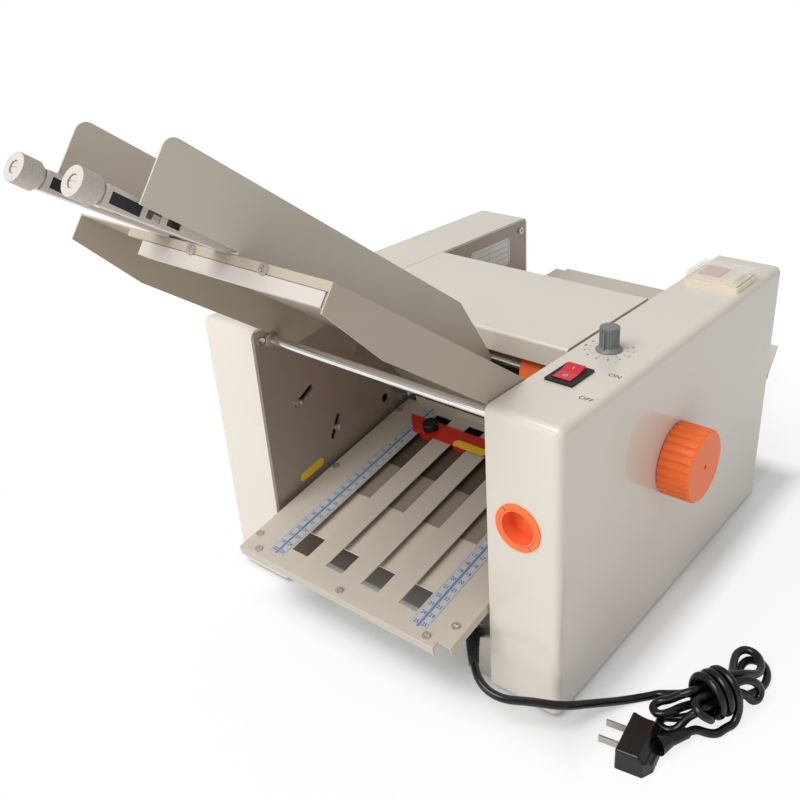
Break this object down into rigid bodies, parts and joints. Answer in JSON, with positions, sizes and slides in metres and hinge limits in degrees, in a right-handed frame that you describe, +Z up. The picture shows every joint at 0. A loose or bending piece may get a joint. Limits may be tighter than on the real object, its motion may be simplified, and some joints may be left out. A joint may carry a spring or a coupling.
{
  "type": "desk paper folding machine",
  "caption": "Desk paper folding machine with tilted feed table, slotted fold trays, red paper stop, geared fold rollers, orange hand knob and coiled cord",
  "frame": {"origin": "on the desk, in the middle of the machine's own footprint without the cord", "axes": "X across the paper path towards the control side, Y from the operator to the back, Z up"},
  "size_m": [0.5154, 0.8928, 0.4835],
  "materials": {
    "housing_paint": "semi-gloss",
    "tray_paint": "satin",
    "wall_paint": "satin",
    "rail_plastic": "satin",
    "stop_paint": "semi-gloss",
    "chrome": "polished",
    "steel": "brushed",
    "black_plastic": "matte",
    "grey_plastic": "matte",
    "white_plastic": "gloss",
    "orange_plastic": "gloss",
    "red_plastic": "gloss",
    "clear_plastic": "clear",
    "ruler_film": "satin",
    "roller_rubber": "matte",
    "orange_rubber": "matte",
    "black_rubber": "matte",
    "cord_jacket": "gloss",
    "bronze": "satin",
    "board_green": "matte"
  },
  "bodies": {
    "machine_frame": {"left_housing": "housing_paint", "right_housing": "housing_paint", "frame_plates": "wall_paint", "base_plate": "steel", "rubber_feet": "black_rubber", "front_tie_bar": "chrome", "tie_rods": "steel", "frame_brackets": "steel", "cross_screws": "steel", "feed_table": "tray_paint", "front_rail": "rail_plastic", "front_tray_top": "tray_paint", "rear_tray_top": "tray_paint", "tray_lower_plates": "tray_paint", "tray_rulers": "ruler_film", "shaft_bushes": "bronze", "bearing_plate": "steel", "drive_belts": "black_rubber", "separator_block": "black_plastic", "separator_pad": "roller_rubber", "paper_chute": "tray_paint", "motor": "steel", "switch_frame": "black_plastic", "speed_control": "black_plastic", "counter_base": "white_plastic", "counter_cover": "clear_plastic", "port_ring": "orange_plastic", "control_board": "board_green", "delivery_tray": "tray_paint", "latch_springs": "steel", "cord_gland": "black_plastic", "cord_lead": "cord_jacket", "cord_hank": "cord_jacket", "plug_body": "black_plastic", "plug_pins": "steel"},
    "centre_cover_body": {"centre_cover": "housing_paint"},
    "roller_c_body": {"fold_roller_c": "roller_rubber"},
    "roller_a_body": {"fold_roller_a": "roller_rubber"},
    "roller_b_body": {"fold_roller_b": "roller_rubber"},
    "roller_d_body": {"fold_roller_d": "roller_rubber"},
    "hand_drive": {"hand_shaft": "steel", "hand_knob": "orange_plastic"},
    "feed_roller": {"feed_shaft": "steel", "feed_tyres": "orange_rubber"},
    "motor_rotor": {"motor_shaft": "steel"},
    "front_stop_slide": {"paper_stop": "stop_paint"},
    "front_stop_left_knob": {"stop_knob_left": "black_plastic"},
    "front_stop_right_knob": {"stop_knob_right": "black_plastic"},
    "rear_stop_slide": {"rear_stop": "stop_paint"},
    "rear_stop_left_knob": {"rear_stop_knob_left": "black_plastic"},
    "rear_stop_right_knob": {"rear_stop_knob_right": "black_plastic"},
    "left_guide": {"left_fin": "tray_paint", "left_arm": "tray_paint"},
    "right_guide": {"right_fin": "tray_paint", "right_arm": "tray_paint"},
    "left_clamp_knob": {"left_guide_knob": "white_plastic"},
    "right_clamp_knob": {"right_guide_knob": "white_plastic"},
    "power_switch": {"switch_rocker": "red_plastic"},
    "speed_dial": {"speed_knob": "grey_plastic"},
    "separator_knob": {"front_knob": "orange_plastic"}
  },
  "joints": [
    {"name": "centre_cover_lift", "type": "slide", "parent": "machine_frame", "child": "centre_cover_body", "axis": [0, 0, 1], "range_m": [0, 0.06]},
    {"name": "roller_c_turn", "type": "hinge", "parent": "machine_frame", "child": "roller_c_body", "pos_m": [-0.0154, -0.01881, 0.113], "axis": [1, 0, 0], "continuous": true},
    {"name": "roller_a_turn", "type": "hinge", "parent": "machine_frame", "child": "roller_a_body", "pos_m": [-0.0154, -0.02858, 0.18015], "axis": [1, 0, 0], "continuous": true},
    {"name": "roller_b_turn", "type": "hinge", "parent": "machine_frame", "child": "roller_b_body", "pos_m": [-0.0154, -0.02592, 0.14625], "axis": [1, 0, 0], "continuous": true},
    {"name": "roller_d_turn", "type": "hinge", "parent": "machine_frame", "child": "roller_d_body", "pos_m": [-0.0154, -0.0246, 0.0795], "axis": [1, 0, 0], "continuous": true},
    {"name": "hand_knob_turn", "type": "hinge", "parent": "machine_frame", "child": "hand_drive", "pos_m": [-0.0154, -0.03963, 0.16065], "axis": [1, 0, 0], "continuous": true},
    {"name": "feed_roller_turn", "type": "hinge", "parent": "machine_frame", "child": "feed_roller", "pos_m": [-0.0154, -0.08374, 0.23388], "axis": [1, 0, 0], "continuous": true},
    {"name": "motor_turn", "type": "hinge", "parent": "machine_frame", "child": "motor_rotor", "pos_m": [-0.0154, -0.11755, 0.052], "axis": [1, 0, 0], "continuous": true},
    {"name": "front_stop_travel", "type": "slide", "parent": "machine_frame", "child": "front_stop_slide", "axis": [0, 0.9779, 0.2089], "range_m": [-0.175, 0.012]},
    {"name": "front_stop_left_clamp", "type": "hinge", "parent": "front_stop_slide", "child": "front_stop_left_knob", "pos_m": [-0.0778, -0.07348, 0.12239], "axis": [0, -0.2089, 0.9779], "range_deg": [-180, 180]},
    {"name": "front_stop_right_clamp", "type": "hinge", "parent": "front_stop_slide", "child": "front_stop_right_knob", "pos_m": [0.0506, -0.07348, 0.12239], "axis": [0, -0.2089, 0.9779], "range_deg": [-180, 180]},
    {"name": "rear_stop_travel", "type": "slide", "parent": "machine_frame", "child": "rear_stop_slide", "axis": [0, -0.9969, -0.0785], "range_m": [-0.14, 0.04]},
    {"name": "rear_stop_left_clamp", "type": "hinge", "parent": "rear_stop_slide", "child": "rear_stop_left_knob", "pos_m": [0.047, 0.05372, 0.17319], "axis": [0, -0.0785, 0.9969], "range_deg": [-180, 180]},
    {"name": "rear_stop_right_clamp", "type": "hinge", "parent": "rear_stop_slide", "child": "rear_stop_right_knob", "pos_m": [-0.0814, 0.05372, 0.17319], "axis": [0, -0.0785, 0.9969], "range_deg": [-180, 180]},
    {"name": "left_guide_travel", "type": "slide", "parent": "machine_frame", "child": "left_guide", "axis": [1, 0, 0], "range_m": [-0.076, 0.016]},
    {"name": "right_guide_travel", "type": "slide", "parent": "machine_frame", "child": "right_guide", "axis": [1, 0, 0], "range_m": [-0.016, 0.076]},
    {"name": "left_guide_clamp", "type": "hinge", "parent": "left_guide", "child": "left_clamp_knob", "pos_m": [-0.044, -0.42703, 0.45897], "axis": [0, 0.808, -0.5892], "range_deg": [-180, 180]},
    {"name": "right_guide_clamp", "type": "hinge", "parent": "right_guide", "child": "right_clamp_knob", "pos_m": [0.0132, -0.42703, 0.45897], "axis": [0, 0.808, -0.5892], "range_deg": [-180, 180]},
    {"name": "power_rocker", "type": "hinge", "parent": "machine_frame", "child": "power_switch", "pos_m": [0.134, -0.14865, 0.273], "axis": [1, 0, 0], "range_deg": [-14, 0]},
    {"name": "speed_dial_turn", "type": "hinge", "parent": "machine_frame", "child": "speed_dial", "pos_m": [0.1343, -0.08855, 0.273], "axis": [0, 0, 1], "range_deg": [-150, 150]},
    {"name": "separator_knob_turn", "type": "hinge", "parent": "machine_frame", "child": "separator_knob", "pos_m": [0.1388, -0.22555, 0.1774], "axis": [0, 1, 0], "range_deg": [-180, 180]}
  ],
  "couplings": [
    {"joint": "roller_a_turn", "follows": "roller_c_turn", "ratio": 1},
    {"joint": "roller_b_turn", "follows": "roller_c_turn", "ratio": -1},
    {"joint": "roller_d_turn", "follows": "roller_c_turn", "ratio": -1},
    {"joint": "hand_knob_turn", "follows": "roller_c_turn", "ratio": -0.52941},
    {"joint": "feed_roller_turn", "follows": "roller_c_turn", "ratio": 0.78571},
    {"joint": "motor_turn", "follows": "roller_c_turn", "ratio": 2.5}
  ]
}
